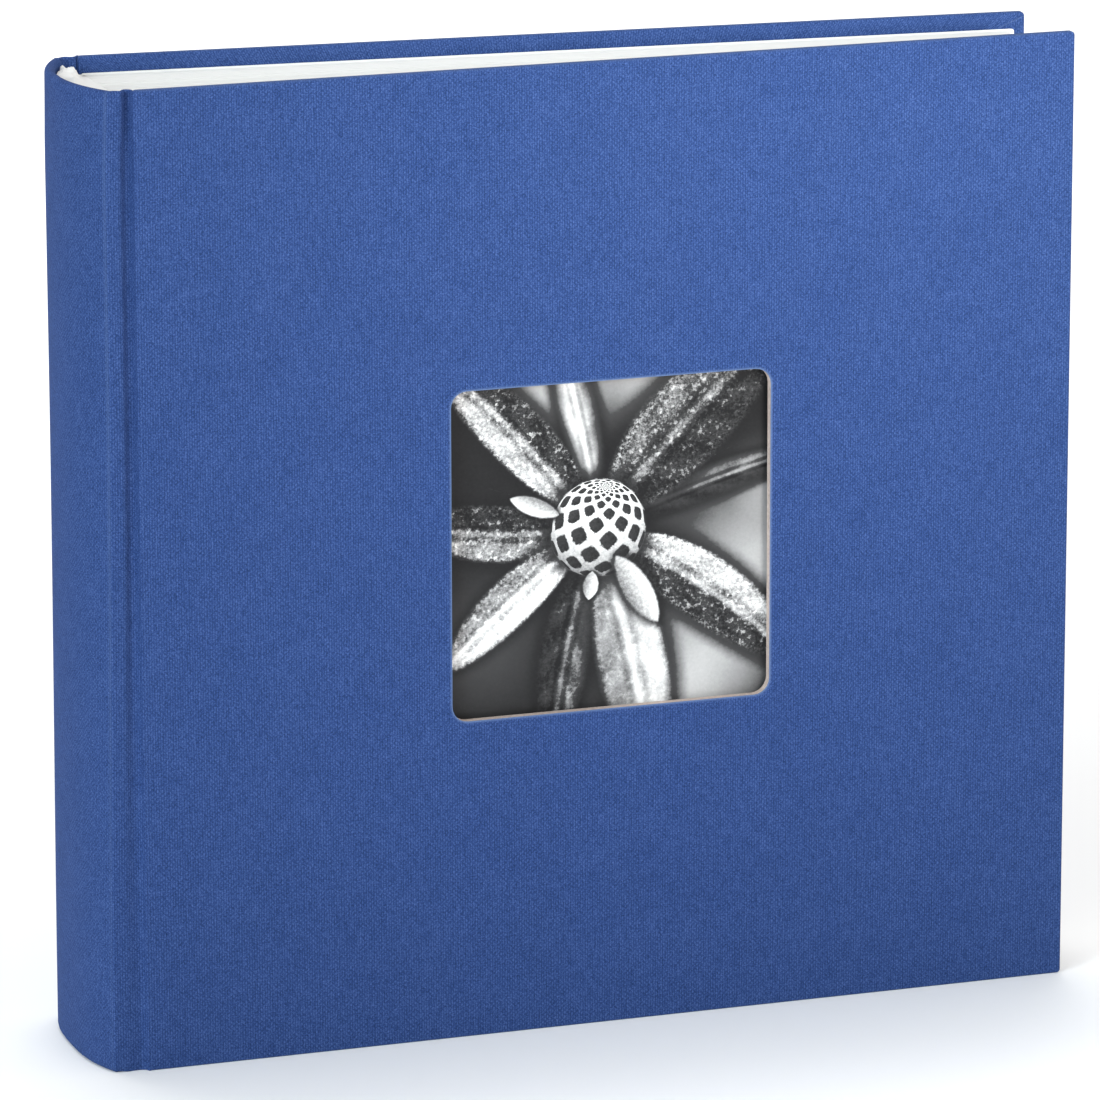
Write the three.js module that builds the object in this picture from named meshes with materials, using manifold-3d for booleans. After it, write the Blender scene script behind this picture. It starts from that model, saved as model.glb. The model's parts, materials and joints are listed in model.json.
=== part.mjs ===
// A case-bound scrapbook album with a die-cut picture window in its front cover.
// It stands on its tail edge: +Z runs up the spine, -Y is the front cover's face,
// -X is the rounded spine and +X the fore-edge. Millimetres.
//
// Inside this file x = 0 is the groove-side edge of the boards and y = 0 the face of the
// front cover; the finished album is centred over the origin at the end.

import * as THREE from 'three';
import { mergeVertices } from 'three/addons/utils/BufferGeometryUtils.js';
import Module from 'manifold-3d';

const wasm = await Module();
wasm.setup();

// ---------------------------------------------------------------- driving dimensions
const HEIGHT = 300;             // boards and spine, tail to head
const COVER_W = 298;            // one cover, groove-side edge to fore-edge
const SPINE_T = 63.8;           // over both covers, at the spine
const FORE_T = 40.4;            // over both covers, at the fore-edge
const SPINE_BULGE = 16;         // the rounded spine stands out this far past x = 0
const CREST = { x: -7.5, y: 3 };        // where the spine's arc meets each joint groove
const HINGE = { x: -3.6, y: 1.3 };      // axis of each cover, inside its joint groove
const WINDOW = { x: 148.2, z: 151.2, size: 102.5, r: 5 };
const SQUARE = { ends: 5.3, fore: 6.5 };        // the boards stand out this far past the leaves
const FORE_HOLLOW = 2.5;        // the middle leaf is this much narrower, as the spine is rounded
const TURN_IN = 15;             // width of the cloth folded over the inside of the boards
const CORNER_R = 2;             // corners of the covers
const JOINT_ROUTE = [[-6.8, 2.6], [-4.7, 3.7], [-3.2, 5.1], [-1.7, 6.2]];  // x, y into the groove

const CLOTH = 0.4;
const GAP = 0.2;                // glue line between two glued layers
const BOARD = 2.2;              // greyboard
const PAPER = 0.2;              // pastedowns and the window pocket
const PRINT = 0.25;             // picture card behind the window
const LINER = 1.2;              // card stiffener of the spine
const LINING = 0.4;             // mull and kraft paper on the back of the text block
const HOLLOW = 0.2;             // hollow back between stiffener and lining
const LINER_TRIM = 0.02;        // radians by which the stiffener stops short of each crest
const LINING_TRIM = 0.06;       // the same for the lining
const LINING_ENDS = 10;         // the lining stops this far from head and tail
const BLOCK = { shoulderY: 5.6, shelfX: -2.5, faceX: 0.2, faceY: 7.6 };     // guard block's plan

const LEAVES = 20;              // card leaves between the two flyleaves
const LEAF_T = 0.7;
const GLASSINE_T = 0.15;        // interleaf lying on the front of each leaf
const FLYLEAF_T = 0.3;
const PIVOT_X = 1.2;            // line where the leaves bend, just off the guard stubs
const PIVOT_CLEAR = 0.4;
const FIRST_LEAF_Y = 5.2;       // middle of the front flyleaf, from the front face
const LAST_LEAF_BACK = { spine: 4.7, fore: 4.5 };       // of the back flyleaf, from the back

// ---------------------------------------------------------------- layers of a cover
// depths are measured from the outer face of the cover inwards
const BOARD_OUT = CLOTH + GAP;
const BOARD_IN = BOARD_OUT + BOARD;
const TURN_OUT = BOARD_IN + GAP;
const TURN_INNER = TURN_OUT + CLOTH;
const PASTE_OUT = TURN_INNER + GAP;
const PASTE_IN = PASTE_OUT + PAPER;
const PRINT_OUT = PASTE_IN + GAP;
const PRINT_IN = PRINT_OUT + PRINT;
const POCKET_OUT = PRINT_IN + GAP;
const POCKET_IN = POCKET_OUT + PAPER;

const PASTE_INSET = { fore: 4, ends: 5, joint: 0.8 };
const PASTE_WINDOW = WINDOW.size + 4;
const PRINT_SIZE = 120;         // the square picture card
const CARD_R = 1;               // corners of the picture card and its pocket
const POCKET_SIDE = 3;          // glued margin of the pocket on each side of the print

// ---------------------------------------------------------------- spine arc
// one circle through both crests and the far point of the bulge
const HALF_T = SPINE_T / 2;
const HALF_CHORD = HALF_T - CREST.y;
const SAGITTA = SPINE_BULGE + CREST.x;
const ARC_R = (HALF_CHORD ** 2 + SAGITTA ** 2) / (2 * SAGITTA);
const ARC_X = ARC_R - SPINE_BULGE;
const ARC_HALF = Math.asin(HALF_CHORD / ARC_R);
const ARC_STEPS = 32;

const LINER_OUT = ARC_R - CLOTH - GAP;
const LINER_IN = LINER_OUT - LINER;
const SPINE_TURN_OUT = LINER_IN - GAP;
const SPINE_TURN_IN = SPINE_TURN_OUT - CLOTH;
const LINING_OUT = SPINE_TURN_IN - HOLLOW;
const LINING_IN = LINING_OUT - LINING;
const BLOCK_R = LINING_IN - GAP;

const FINISH = {
  cloth: { color: 0x3f62a6, roughness: 0.9 },
  greyboard: { color: 0xa89a94, roughness: 0.95 },
  paper: { color: 0xf3f3f1, roughness: 0.85 },
  card: { color: 0xf6f6f4, roughness: 0.85 },
  glassine: { color: 0xe4e6e2, roughness: 0.4 },
  print: { color: 0x5a5a5a, roughness: 0.35 },
  liner: { color: 0xb9ab98, roughness: 0.95 },
  mull: { color: 0xe6e0cf, roughness: 0.95 },
};

const CUT_PAST = 1;             // a cutting solid reaches this far past what it cuts
const CUT_TURN = 0.1;           // the same in radians round the spine
const CURVE_STEPS = 6;          // chords to each rounded corner

function piece(name, geometry, finish) {
  const mesh = new THREE.Mesh(geometry, new THREE.MeshStandardMaterial({ ...finish, metalness: 0 }));
  mesh.name = name;
  return mesh;
}

// ---------------------------------------------------------------- shapes
function roundedRect(path, x0, z0, x1, z1, r) {
  path.moveTo(x0 + r, z0);
  path.lineTo(x1 - r, z0);
  path.absarc(x1 - r, z0 + r, r, -Math.PI / 2, 0, false);
  path.lineTo(x1, z1 - r);
  path.absarc(x1 - r, z1 - r, r, 0, Math.PI / 2, false);
  path.lineTo(x0 + r, z1);
  path.absarc(x0 + r, z1 - r, r, Math.PI / 2, Math.PI, false);
  path.lineTo(x0, z0 + r);
  path.absarc(x0 + r, z0 + r, r, Math.PI, 1.5 * Math.PI, false);
  return path;
}

// a plate standing in the XZ plane, between two depths from the cover's outer face
function plate(shape, depthOut, depthIn, inward) {
  const geometry = new THREE.ExtrudeGeometry(shape, {
    depth: depthIn - depthOut, bevelEnabled: false, curveSegments: CURVE_STEPS,
  });
  geometry.rotateX(Math.PI / 2);
  geometry.translate(0, inward > 0 ? depthIn : -depthOut, 0);
  return geometry;
}

function rectPlate(x0, z0, x1, z1, r, depthOut, depthIn, inward, hole) {
  const shape = roundedRect(new THREE.Shape(), x0, z0, x1, z1, r);
  if (hole) shape.holes.push(windowPath(new THREE.Path(), hole));
  return plate(shape, depthOut, depthIn, inward);
}

function windowPath(path, size) {
  const half = size / 2;
  const { x, z, r } = WINDOW;
  return roundedRect(path, x - half, z - half, x + half, z + half, r);
}

// a prism of an XY outline, standing from z0 to z1
function prism(outline, z0, z1) {
  const shape = new THREE.Shape(outline);
  const geometry = new THREE.ExtrudeGeometry(shape, { depth: z1 - z0, bevelEnabled: false });
  geometry.translate(0, 0, z0);
  return geometry;
}

function arcPoints(radius, halfAngle) {
  const points = [];
  for (let i = 0; i <= ARC_STEPS; i++) {
    const a = -halfAngle + (2 * halfAngle * i) / ARC_STEPS;
    points.push(new THREE.Vector2(ARC_X - radius * Math.cos(a), HALF_T + radius * Math.sin(a)));
  }
  return points;
}

// a curved strip of the spine between two radii
function sector(outer, inner, halfAngle, z0, z1) {
  return prism([...arcPoints(outer, halfAngle), ...arcPoints(inner, halfAngle).reverse()], z0, z1);
}

// ---------------------------------------------------------------- solids
function solid(geometry) {
  const bare = geometry.clone();
  bare.deleteAttribute('normal');
  bare.deleteAttribute('uv');
  const merged = mergeVertices(bare);
  return new wasm.Manifold(new wasm.Mesh({
    numProp: 3,
    vertProperties: new Float32Array(merged.attributes.position.array),
    triVerts: new Uint32Array(merged.index.array),
  }));
}

function cut(base, ...tools) {
  let result = solid(base);
  for (const tool of tools) result = result.subtract(solid(tool));
  const mesh = result.getMesh();
  const geometry = new THREE.BufferGeometry();
  geometry.setAttribute('position', new THREE.BufferAttribute(mesh.vertProperties, 3));
  geometry.setIndex(new THREE.BufferAttribute(mesh.triVerts, 1));
  geometry.computeVertexNormals();
  return geometry;
}

// ---------------------------------------------------------------- covers
// inward is +1 for the front cover and -1 for the back one
function coverCloth(inward, hasWindow) {
  const w = COVER_W;
  const h = HEIGHT;
  const skin = CLOTH;
  const body = rectPlate(0, 0, w, h, CORNER_R, 0, TURN_INNER, inward, hasWindow && WINDOW.size);
  const pocket = rectPlate(skin, skin, w - skin, h - skin, CORNER_R - skin, skin, TURN_OUT, inward);
  const inside = rectPlate(
    skin, TURN_IN, w - TURN_IN, h - TURN_IN, CORNER_R, TURN_OUT - GAP, TURN_INNER + CUT_PAST, inward,
  );
  return cut(body, pocket, inside);
}

function board(inward, hasWindow) {
  const edge = CLOTH + GAP;
  return rectPlate(
    edge, edge, COVER_W - edge, HEIGHT - edge, CORNER_R - edge,
    BOARD_OUT, BOARD_IN, inward, hasWindow && WINDOW.size,
  );
}

function pastedown(inward, hasWindow) {
  const { fore, ends, joint } = PASTE_INSET;
  return rectPlate(
    joint, ends, COVER_W - fore, HEIGHT - ends, CORNER_R,
    PASTE_OUT, PASTE_IN, inward, hasWindow && PASTE_WINDOW,
  );
}

function windowCard(width, z0, z1, depthOut, depthIn) {
  return rectPlate(
    WINDOW.x - width / 2, z0, WINDOW.x + width / 2, z1, CARD_R, depthOut, depthIn, 1,
  );
}

function coverPieces(side, inward, hasWindow) {
  return [
    piece(`${side}_cloth`, coverCloth(inward, hasWindow), FINISH.cloth),
    piece(`${side}_board`, board(inward, hasWindow), FINISH.greyboard),
    piece(`${side}_pastedown`, pastedown(inward, hasWindow), FINISH.paper),
  ];
}

// a group that turns about one cover's hinge line, its pieces still in cover coordinates
function hinged(name, x, y, originY, angle, pieces) {
  const group = new THREE.Group();
  group.name = name;
  group.position.set(x, y, 0);
  group.rotation.z = angle;
  for (const mesh of pieces) {
    mesh.position.set(-x, originY - y, 0);
    group.add(mesh);
  }
  return group;
}

function frontCover() {
  const foot = WINDOW.z - PRINT_SIZE / 2;
  const head = foot + PRINT_SIZE;
  const pocketW = PRINT_SIZE + 2 * POCKET_SIDE;
  const print = windowCard(PRINT_SIZE, foot, head, PRINT_OUT, PRINT_IN);
  const pocket = windowCard(pocketW, foot - POCKET_SIDE, head, POCKET_OUT, POCKET_IN);
  return hinged('front_cover_hinge', HINGE.x, HINGE.y, 0, 0, [
    ...coverPieces('front', 1, true),
    piece('window_print', print, FINISH.print),
    piece('window_pocket', pocket, FINISH.paper),
  ]);
}

// the back cover leans in towards the fore-edge, where the album is thinner
const BACK_TILT = Math.asin((SPINE_T - FORE_T) / (COVER_W - HINGE.x));

function backCover() {
  const y = SPINE_T - HINGE.y;
  return hinged('back_cover_hinge', HINGE.x, y, SPINE_T, -BACK_TILT, coverPieces('back', -1, false));
}

// ---------------------------------------------------------------- spine
function spineCloth() {
  const beyond = ARC_HALF + CUT_TURN;
  const body = sector(ARC_R, SPINE_TURN_IN, ARC_HALF, 0, HEIGHT);
  const pocket = sector(ARC_R - CLOTH, SPINE_TURN_OUT, beyond, CLOTH, HEIGHT - CLOTH);
  const inside = sector(
    SPINE_TURN_OUT + GAP, SPINE_TURN_IN - CUT_PAST, beyond, TURN_IN, HEIGHT - TURN_IN,
  );
  return cut(body, pocket, inside);
}

function spineLiner() {
  const edge = CLOTH + GAP;
  return sector(LINER_OUT, LINER_IN, ARC_HALF - LINER_TRIM, edge, HEIGHT - edge);
}

function spineLining() {
  return sector(
    LINING_OUT, LINING_IN, ARC_HALF - LINING_TRIM, LINING_ENDS, HEIGHT - LINING_ENDS,
  );
}

// cloth of one joint groove, from the crest of the spine down to the bottom of the valley
function jointCloth(isBack) {
  const lean = CLOTH / 3;       // the strip slopes, so its inner side is set over a little
  const outline = [
    ...JOINT_ROUTE.map(([x, y]) => new THREE.Vector2(x, y)),
    ...JOINT_ROUTE.map(([x, y]) => new THREE.Vector2(x - lean, y + CLOTH)).reverse(),
  ];
  if (isBack) outline.forEach((p) => { p.y = SPINE_T - p.y; });
  return prism(outline, 0, HEIGHT);
}

// folded stubs of all the leaves, glued into one rounded and backed block
function guardBlock() {
  const { shoulderY, shelfX, faceX, faceY } = BLOCK;
  const half = Math.asin((HALF_T - shoulderY) / BLOCK_R);
  const outline = [
    ...arcPoints(BLOCK_R, half),
    new THREE.Vector2(shelfX, SPINE_T - faceY),
    new THREE.Vector2(faceX, SPINE_T - faceY),
    new THREE.Vector2(faceX, faceY),
    new THREE.Vector2(shelfX, faceY),
  ];
  return prism(outline, SQUARE.ends, HEIGHT - SQUARE.ends);
}

function spinePieces() {
  return [
    piece('spine_cloth', spineCloth(), FINISH.cloth),
    piece('spine_stiffener', spineLiner(), FINISH.liner),
    piece('front_joint_cloth', jointCloth(false), FINISH.cloth),
    piece('back_joint_cloth', jointCloth(true), FINISH.cloth),
    piece('spine_lining', spineLining(), FINISH.mull),
    piece('guard_block', guardBlock(), FINISH.card),
  ];
}

// ---------------------------------------------------------------- leaves
// share runs from 0 at the front flyleaf to 1 at the back one
function leafPlace(share) {
  const lastSpine = SPINE_T - LAST_LEAF_BACK.spine;
  const lastFore = FORE_T - LAST_LEAF_BACK.fore;
  const spineY = THREE.MathUtils.lerp(FIRST_LEAF_Y, lastSpine, share);
  const foreY = THREE.MathUtils.lerp(FIRST_LEAF_Y, lastFore, share);
  return { y: spineY, angle: Math.atan2(foreY - spineY, COVER_W - SQUARE.fore - PIVOT_X) };
}

// a flat sheet standing in the leaf's own plane, its middle at depth y
function sheet(share, thickness, y) {
  const hollow = FORE_HOLLOW * 4 * share * (1 - share);
  const length = COVER_W - SQUARE.fore - hollow - PIVOT_X - PIVOT_CLEAR;
  const geometry = new THREE.BoxGeometry(length, thickness, HEIGHT - 2 * SQUARE.ends);
  geometry.translate(PIVOT_CLEAR + length / 2, y, HEIGHT / 2);
  return geometry;
}

function leafGroup(name, share, pieces) {
  const { y, angle } = leafPlace(share);
  const group = new THREE.Group();
  group.name = `${name}_pivot`;
  group.position.set(PIVOT_X, y, 0);
  group.rotation.z = angle;
  group.add(...pieces);
  return group;
}

function flyleaf(side, share) {
  const paper = piece(`${side}_flyleaf`, sheet(share, FLYLEAF_T, 0), FINISH.paper);
  return leafGroup(`${side}_flyleaf`, share, [paper]);
}

function leaves() {
  const glassineY = -(LEAF_T / 2 + GAP + GLASSINE_T / 2);
  const groups = [];
  for (let i = 1; i <= LEAVES; i++) {
    const share = i / (LEAVES + 1);
    const number = String(i).padStart(2, '0');
    groups.push(leafGroup(`leaf_${number}`, share, [
      piece(`leaf_${number}`, sheet(share, LEAF_T, 0), FINISH.card),
      piece(`interleaf_${number}`, sheet(share, GLASSINE_T, glassineY), FINISH.glassine),
    ]));
  }
  return [flyleaf('front', 0), ...groups, flyleaf('back', 1)];
}

// ---------------------------------------------------------------- album
const album = new THREE.Group();
album.name = 'scrapbook_album';
album.add(frontCover(), backCover(), ...spinePieces(), ...leaves());

const box = new THREE.Box3().setFromObject(album, true);
album.position.set(-(box.min.x + box.max.x) / 2, -(box.min.y + box.max.y) / 2, -box.min.z);
album.updateMatrixWorld(true);

export default album;
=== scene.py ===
"""The looks of the scrapbook album: book cloth, boards, endpapers, leaves and the window picture."""

import json
import math
import random

import bpy
import numpy as np
from mathutils import Matrix, Vector, noise


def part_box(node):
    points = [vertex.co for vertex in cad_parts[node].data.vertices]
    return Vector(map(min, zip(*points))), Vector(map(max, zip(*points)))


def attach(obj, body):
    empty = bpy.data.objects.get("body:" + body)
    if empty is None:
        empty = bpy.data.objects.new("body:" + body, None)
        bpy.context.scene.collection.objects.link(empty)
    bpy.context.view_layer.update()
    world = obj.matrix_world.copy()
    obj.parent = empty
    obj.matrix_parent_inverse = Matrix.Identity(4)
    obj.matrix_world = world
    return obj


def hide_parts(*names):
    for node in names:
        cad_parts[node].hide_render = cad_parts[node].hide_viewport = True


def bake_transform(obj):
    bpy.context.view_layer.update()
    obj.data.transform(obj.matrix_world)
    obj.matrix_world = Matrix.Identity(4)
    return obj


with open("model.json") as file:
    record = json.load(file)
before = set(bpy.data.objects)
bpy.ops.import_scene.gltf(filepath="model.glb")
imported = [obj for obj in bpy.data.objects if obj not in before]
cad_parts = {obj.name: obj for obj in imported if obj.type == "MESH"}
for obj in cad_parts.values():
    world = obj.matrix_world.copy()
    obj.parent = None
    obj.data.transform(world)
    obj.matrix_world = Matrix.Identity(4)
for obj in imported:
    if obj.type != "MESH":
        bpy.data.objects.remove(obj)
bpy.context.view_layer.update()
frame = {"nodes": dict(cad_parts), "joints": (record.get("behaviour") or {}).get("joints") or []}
random.seed(7)

MM = 0.001
JOINTS = {j["name"]: j for j in frame["joints"]}

# ---------------------------------------------------------------- the album's own measures
# Plan coordinates: x from the groove-side edge of the boards, y inwards from the front face.
FRONT_LO, FRONT_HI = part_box("front_cloth")
X0, Y0 = FRONT_LO.x, FRONT_LO.y
WIDTH = FRONT_HI.x - FRONT_LO.x
HEIGHT = FRONT_HI.z - FRONT_LO.z
COVER_T = FRONT_HI.y - FRONT_LO.y
SPINE_T = (Vector(JOINTS["front_cover_open"]["pos_m"]).y + Vector(JOINTS["back_cover_open"]["pos_m"]).y
           - 2 * Y0)
CLOTH = 0.4 * MM
CREST = Vector((-7.5 * MM, 3 * MM))              # shoulder of the frame's spine, in plan
BULGE = X0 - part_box("spine_cloth")[0].x
BOARD_OUT, BOARD_IN = 0.42 * MM, 2.98 * MM       # depths of a board's two sides
PAPER = 0.2 * MM
TURN_IN = 15 * MM
CORNER_R = 1.2 * MM
WINDOW_LO, WINDOW_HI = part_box("window_print")
WINDOW = Vector(((WINDOW_LO.x + WINDOW_HI.x) / 2 - X0, (WINDOW_LO.z + WINDOW_HI.z) / 2))
WINDOW_SIZE = 102.5 * MM
WINDOW_R = 5 * MM
FRONT_FLY, BACK_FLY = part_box("front_flyleaf"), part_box("back_flyleaf")
FLY_T = FRONT_FLY[1].y - FRONT_FLY[0].y
FLY_Y = (FRONT_FLY[0].y + FRONT_FLY[1].y) / 2 - Y0
BLOCK_TAIL, BLOCK_HEAD = FRONT_FLY[0].z, FRONT_FLY[1].z
PIVOT_X = JOINTS["page_01_turn"]["pos_m"][0]

# The frame's spine is an arc through both shoulders: half its chord, its sag, radius and centre.
ARC_CHORD = SPINE_T / 2 - CREST.y
ARC_SAG = BULGE + CREST.x
ARC_R = (ARC_CHORD ** 2 + ARC_SAG ** 2) / (2 * ARC_SAG)
ARC_X = ARC_R - BULGE


# ---------------------------------------------------------------- camera, light and floor
def make_camera():
    azimuth, elevation, roll = math.radians(-19.12), math.radians(14.06), math.radians(-0.11)
    distance = 2.220
    aim = Vector((X0 + 0.150, Y0 + 0.025, 0.150))
    slide = Vector((-0.01236, -0.00621))
    back = Vector((math.sin(azimuth) * math.cos(elevation),
                   -math.cos(azimuth) * math.cos(elevation), math.sin(elevation)))
    right = (-back).cross(Vector((0, 0, 1))).normalized()
    up = right.cross(-back)
    right, up = (right * math.cos(roll) + up * math.sin(roll),
                 up * math.cos(roll) - right * math.sin(roll))
    data = bpy.data.cameras.new("camera")
    data.sensor_width = 36
    data.lens = 237.1
    data.clip_end = 50
    camera = bpy.data.objects.new("camera", data)
    bpy.context.scene.collection.objects.link(camera)
    camera.rotation_euler = Matrix((right, up, back)).transposed().to_euler()
    camera.location = aim + back * distance + right * slide.x + up * slide.y
    bpy.context.scene.camera = camera


def area_light(name, place, aim, size, power, spread, colour=(1, 1, 1)):
    data = bpy.data.lights.new(name, "AREA")
    data.shape = "RECTANGLE"
    data.size, data.size_y = size
    data.energy = power
    data.spread = math.radians(spread)
    data.color = colour
    light = bpy.data.objects.new(name, data)
    bpy.context.scene.collection.objects.link(light)
    light.location = place
    light.rotation_euler = (Vector(aim) - Vector(place)).to_track_quat("-Z", "Y").to_euler()


def make_light():
    world = bpy.data.worlds.new("studio")
    world.use_nodes = True
    world.node_tree.nodes["Background"].inputs["Color"].default_value = (1, 1, 1, 1)
    world.node_tree.nodes["Background"].inputs["Strength"].default_value = 0.62
    bpy.context.scene.world = world
    bpy.context.scene.view_settings.view_transform = "Standard"
    area_light("key", (0.44, -1.05, 0.52), (0.15, -0.03, 0.43), (0.35, 0.35), 1.24, 42, (1, 0.985, 0.93))
    area_light("side", (-1.5, -0.9, 0.75), (-0.15, 0, 0.30), (1.0, 1.0), 3.1, 50, (0.80, 0.94, 1.0))
    area_light("top", (0, 0.40, 1.6), (0, 0.03, 0.3), (0.8, 0.5), 0.35, 50)
    area_light("under", (0.05, -0.42, 1.3), (0.05, -0.42, 0), (0.9, 0.3), 1.6, 34)
    area_light("back", (0, 1.9, 1.9), (0, 1.6, 0), (3.0, 1.6), 23, 110)


def make_floor():
    bpy.ops.mesh.primitive_plane_add(size=30, location=(0, 0, 0))
    floor = bpy.context.object
    floor.name = "floor"
    material = bpy.data.materials.new("floor")
    material.use_nodes = True
    shader = material.node_tree.nodes["Principled BSDF"]
    shader.inputs["Base Color"].default_value = (0.93, 0.93, 0.93, 1)
    shader.inputs["Roughness"].default_value = 0.9
    floor.data.materials.append(material)


# ---------------------------------------------------------------- shader arithmetic
class Value:
    """A number in a shader. Arithmetic on it adds Math nodes to its tree."""

    def __init__(self, tree, socket):
        self.tree, self.socket = tree, socket

    def math(self, operation, *others, clamp=False):
        node = self.tree.nodes.new("ShaderNodeMath")
        node.operation = operation
        node.use_clamp = clamp
        for place, value in enumerate((self, *others)):
            if isinstance(value, Value):
                self.tree.links.new(value.socket, node.inputs[place])
            else:
                node.inputs[place].default_value = value
        return Value(self.tree, node.outputs[0])

    def __add__(self, other):
        return self.math("ADD", other)

    def __sub__(self, other):
        return self.math("SUBTRACT", other)

    def __rsub__(self, other):
        return self.math("MULTIPLY", -1.0).math("ADD", other)

    def __mul__(self, other):
        return self.math("MULTIPLY", other)

    def __truediv__(self, other):
        return self.math("DIVIDE", other)

    def __abs__(self):
        return self.math("ABSOLUTE")

    def clip(self):
        return self.math("ADD", 0.0, clamp=True)

    def power(self, other):
        return self.math("POWER", other)

    def ramp(self, low, high):
        """0 at low, 1 at high, smooth in between."""
        node = self.tree.nodes.new("ShaderNodeMapRange")
        node.interpolation_type = "SMOOTHSTEP"
        self.tree.links.new(self.socket, node.inputs["Value"])
        for name, value in (("From Min", low), ("From Max", high)):
            if isinstance(value, Value):
                self.tree.links.new(value.socket, node.inputs[name])
            else:
                node.inputs[name].default_value = value
        return Value(self.tree, node.outputs["Result"])


def blend_values(a, b, share):
    return (b - a) * share + a


class Shader:
    """One material and the helpers that fill its node tree."""

    def __init__(self, name, roughness=0.8, specular=0.3):
        self.material = bpy.data.materials.new(name)
        self.material.use_nodes = True
        self.tree = self.material.node_tree
        self.bsdf = self.tree.nodes["Principled BSDF"]
        self.bsdf.inputs["Roughness"].default_value = roughness
        self.bsdf.inputs["Specular IOR Level"].default_value = specular

    def node(self, kind, **settings):
        node = self.tree.nodes.new(kind)
        for name, value in settings.items():
            setattr(node, name, value)
        return node

    def attribute(self, name):
        """The three numbers of a named vector attribute."""
        source = self.node("ShaderNodeAttribute", attribute_name=name)
        parts = self.node("ShaderNodeSeparateXYZ")
        self.tree.links.new(source.outputs["Vector"], parts.inputs[0])
        return [Value(self.tree, socket) for socket in parts.outputs]

    def position(self):
        """Where the point is on the piece, in metres in the album's own frame."""
        source = self.node("ShaderNodeTexCoord")
        parts = self.node("ShaderNodeSeparateXYZ")
        self.tree.links.new(source.outputs["Object"], parts.inputs[0])
        return [Value(self.tree, socket) for socket in parts.outputs]

    def vector(self, x, y, z=0.0):
        join = self.node("ShaderNodeCombineXYZ")
        for place, value in enumerate((x, y, z)):
            if isinstance(value, Value):
                self.tree.links.new(value.socket, join.inputs[place])
            else:
                join.inputs[place].default_value = value
        return join.outputs[0]

    def noise(self, vector, detail=2.0, roughness=0.5):
        node = self.node("ShaderNodeTexNoise")
        self.tree.links.new(vector, node.inputs["Vector"])
        node.inputs["Scale"].default_value = 1.0
        node.inputs["Detail"].default_value = detail
        node.inputs["Roughness"].default_value = roughness
        return Value(self.tree, node.outputs["Fac"])

    def colours(self, share, *stops):
        """A colour ramp of (place, colour) stops."""
        node = self.node("ShaderNodeValToRGB")
        self.tree.links.new(share.socket, node.inputs["Fac"])
        ramp = node.color_ramp
        while len(ramp.elements) < len(stops):
            ramp.elements.new(0.5)
        for element, (place, colour) in zip(ramp.elements, stops):
            element.position = place
            element.color = (*colour, 1)
        return node.outputs["Color"]

    def mix(self, share, a, b):
        """Colour a where share is 0, b where it is 1; each a socket or three numbers."""
        node = self.node("ShaderNodeMix", data_type="RGBA")
        self.tree.links.new(share.socket, node.inputs["Factor"])
        for name, value in (("A", a), ("B", b)):
            socket = [s for s in node.inputs if s.name == name and s.type == "RGBA"][0]
            if isinstance(value, tuple):
                socket.default_value = (*value, 1)
            else:
                self.tree.links.new(value, socket)
        return [s for s in node.outputs if s.type == "RGBA"][0]

    def colour(self, socket):
        self.tree.links.new(socket, self.bsdf.inputs["Base Color"])

    def bump(self, height, depth, strength=1.0):
        """height from 0 to 1 stands for depth metres."""
        node = self.node("ShaderNodeBump")
        node.inputs["Distance"].default_value = depth
        node.inputs["Strength"].default_value = strength
        self.tree.links.new(height.socket, node.inputs["Height"])
        self.tree.links.new(node.outputs["Normal"], self.bsdf.inputs["Normal"])


# ---------------------------------------------------------------- materials
WARP, WEFT = 0.79 * MM, 0.745 * MM      # pitch of the cloth's upright and level threads


def book_cloth():
    """Plain-weave book cloth: each thread goes over one crossing and under the next. The weave
    attribute holds metres along and up the flat cloth; cut is how far the cloth is paled: its pale
    fibres at cut edges, and a painted highlight over the boards' edges and along the spine's crest."""
    s = Shader("book_cloth", roughness=0.9, specular=0.12)
    along, up, _ = s.attribute("weave")
    u, v = along / WARP, up / WEFT
    wander = s.noise(s.vector(u * 0.5, v * 0.5), 2.0, 0.6) - 0.5
    u, v = u + wander * 0.3, v + wander * 0.3
    warp_round = (u * math.pi).math("COSINE")
    weft_round = (v * math.pi).math("COSINE")
    crossing = warp_round * weft_round
    gap = warp_round * warp_round
    warp_slub = s.noise(s.vector(u * 1.1, v * 0.12), 2.0, 0.7)
    weft_slub = s.noise(s.vector(u * 0.12, v * 1.1), 2.0, 0.7)
    knot = s.noise(s.vector(u * 2.3, v * 2.1, 3.7), 1.0)
    mottle = s.noise(s.vector(along * 60, up * 60), 3.0, 0.6)
    tone = (crossing * 0.10 + (gap - 0.5) * 0.20 + (warp_slub - 0.5) * 0.42
            + (weft_slub - 0.5) * 0.26 + (knot - 0.5) * 1.15 + (mottle - 0.5) * 0.14 + 0.5).clip()
    colour = s.colours(tone, (0.0, (0.0055, 0.0178, 0.0725)), (0.5, (0.0250, 0.0560, 0.1790)),
                       (1.0, (0.0762, 0.1320, 0.3350)))
    # cut pales the cloth: pale fibres at cut edges, and painted highlight over the boards' edges and the
    # spine's crest
    cut = s.attribute("cut")[0]
    s.colour(s.mix(cut, colour, (0.12, 0.18, 0.33)))
    s.bump(crossing * 0.22 + gap * 0.25 + warp_slub * 0.3 + weft_slub * 0.2 + knot * 0.5,
           0.20 * MM, 0.5)
    return s.material


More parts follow.
